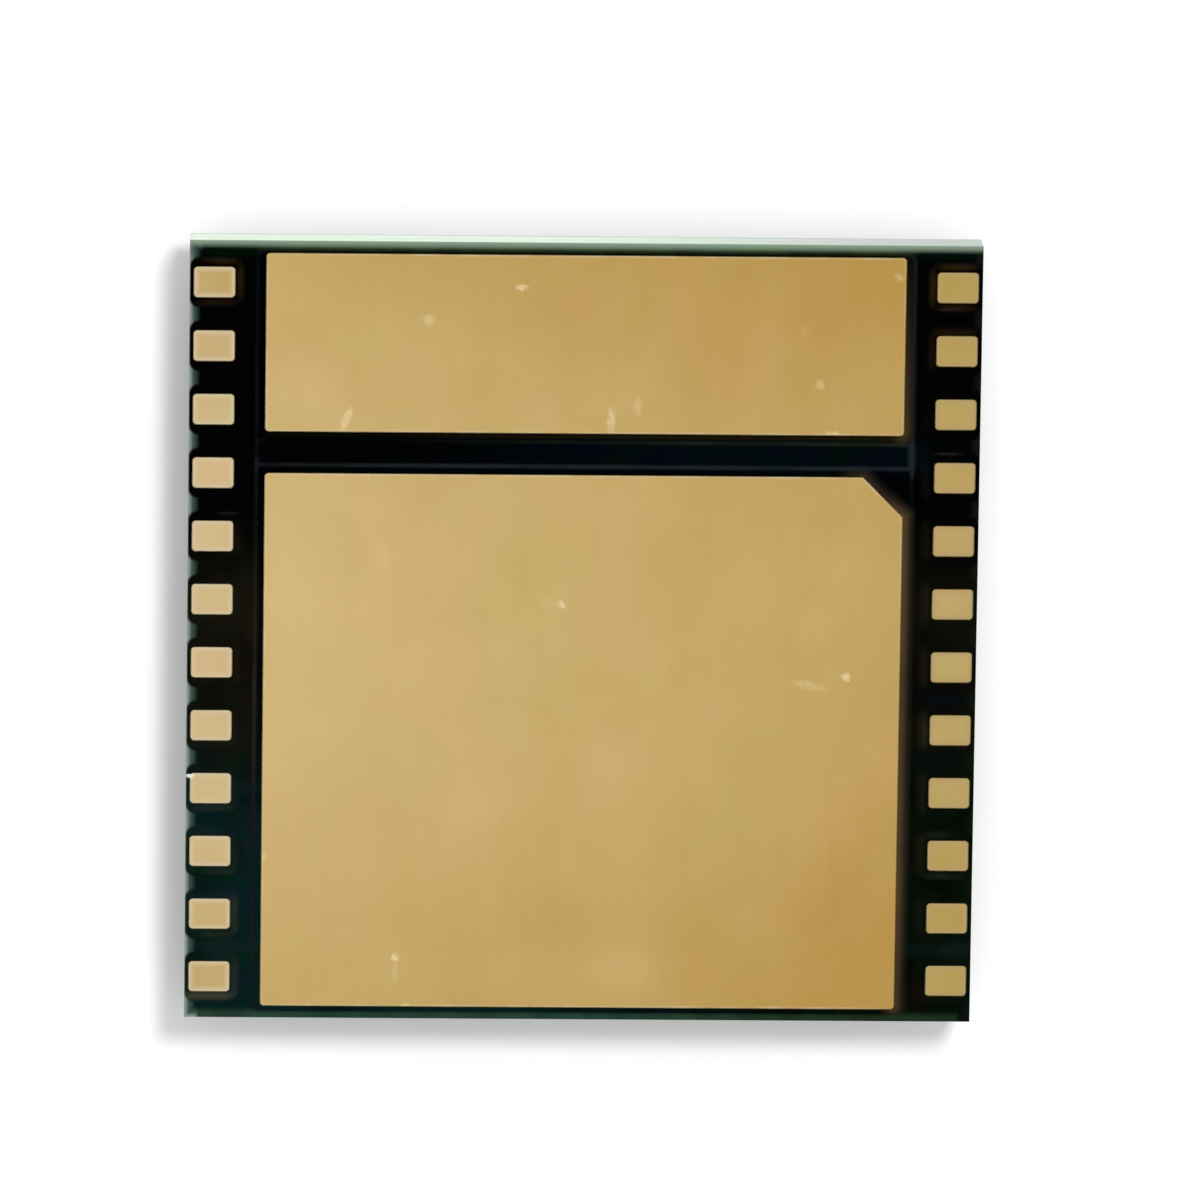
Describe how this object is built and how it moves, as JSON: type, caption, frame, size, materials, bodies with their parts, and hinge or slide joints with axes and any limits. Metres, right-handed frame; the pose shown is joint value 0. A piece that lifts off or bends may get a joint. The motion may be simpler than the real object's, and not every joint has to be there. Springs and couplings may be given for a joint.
{
  "type": "integrated circuit",
  "caption": "Square surface-mount integrated circuit: a thin laminate with edge lands and two large gold pads, one with a cut corner, over a flip-chip die.",
  "frame": {"origin": "centre of the die's back, on which the part lies: the bottom centre of its box", "axes": "+Z out of the lands; +X and +Y along the sides, with the cut corner of the ground pad towards both"},
  "size_m": [0.008, 0.008, 0.001],
  "materials": {
    "silicon": "ground back, sawn sides",
    "solder": "satin",
    "underfill": "smooth cured resin",
    "solder_mask": "glossy film",
    "copper": "satin",
    "laminate": "sawn glass-fibre laminate",
    "gold_plate": "satin plating"
  },
  "bodies": {
    "root": {"silicon_die": "silicon", "die_bumps": "solder", "underfill": "underfill", "die_side_mask": "solder_mask", "signal_traces": "copper", "power_spreader": "copper", "ground_spreader": "copper", "laminate_core": "laminate", "inner_ground_plane": "copper", "land_side_ply": "laminate", "signal_vias": "copper", "power_vias": "copper", "ground_vias": "copper", "power_pad": "gold_plate", "ground_pad": "gold_plate", "land_side_mask": "solder_mask", "land_01": "gold_plate", "land_02": "gold_plate", "land_03": "gold_plate", "land_04": "gold_plate", "land_05": "gold_plate", "land_06": "gold_plate", "land_07": "gold_plate", "land_08": "gold_plate", "land_09": "gold_plate", "land_10": "gold_plate", "land_11": "gold_plate", "land_12": "gold_plate", "land_13": "gold_plate", "land_14": "gold_plate", "land_15": "gold_plate", "land_16": "gold_plate", "land_17": "gold_plate", "land_18": "gold_plate", "land_19": "gold_plate", "land_20": "gold_plate", "land_21": "gold_plate", "land_22": "gold_plate", "land_23": "gold_plate", "land_24": "gold_plate"}
  },
  "joints": []
}
